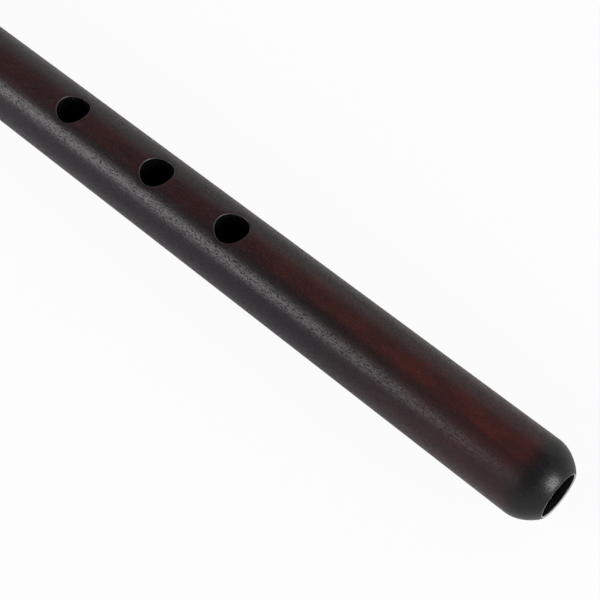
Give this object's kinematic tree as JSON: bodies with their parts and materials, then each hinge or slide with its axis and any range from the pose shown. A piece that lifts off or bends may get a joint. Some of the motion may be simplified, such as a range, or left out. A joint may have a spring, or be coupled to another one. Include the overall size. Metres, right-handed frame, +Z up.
{
  "type": "duduk",
  "caption": "Straight wooden woodwind pipe with front finger holes, a thumb hole, a wide flat cane double reed, its bridle and its cap.",
  "frame": {"origin": "under the middle of the whole instrument, on the surface that it lies on", "axes": "+X along the bore from the reed to the foot, +Z up through the front finger holes, +Y across"},
  "size_m": [0.4742, 0.0386, 0.0263],
  "materials": {
    "dark_wood": "oiled satin, nearly black with a red brown grain",
    "reed_cane": "dry cane, scraped on the blades",
    "waxed_thread": "waxed cotton thread",
    "bridle_cane": "bent cane",
    "cap_wood": "sanded and oiled"
  },
  "bodies": {
    "pipe": {"body": "dark_wood"},
    "reed": {"reed": "reed_cane", "reed_winding": "waxed_thread"},
    "bridle": {"bridle_upper_slat": "bridle_cane", "bridle_lower_slat": "bridle_cane", "bridle_tie_left": "waxed_thread", "bridle_tie_right": "waxed_thread"},
    "cap": {"reed_cap": "cap_wood"}
  },
  "joints": [
    {"name": "reed_slide", "type": "slide", "parent": "pipe", "child": "reed", "axis": [-1, 0, 0], "range_m": [0, 0.0205]},
    {"name": "bridle_slide", "type": "slide", "parent": "reed", "child": "bridle", "axis": [-1, 0, 0], "range_m": [0, 0.008]},
    {"name": "cap_slide", "type": "slide", "parent": "reed", "child": "cap", "axis": [-1, 0, 0], "range_m": [0, 0.022]}
  ]
}
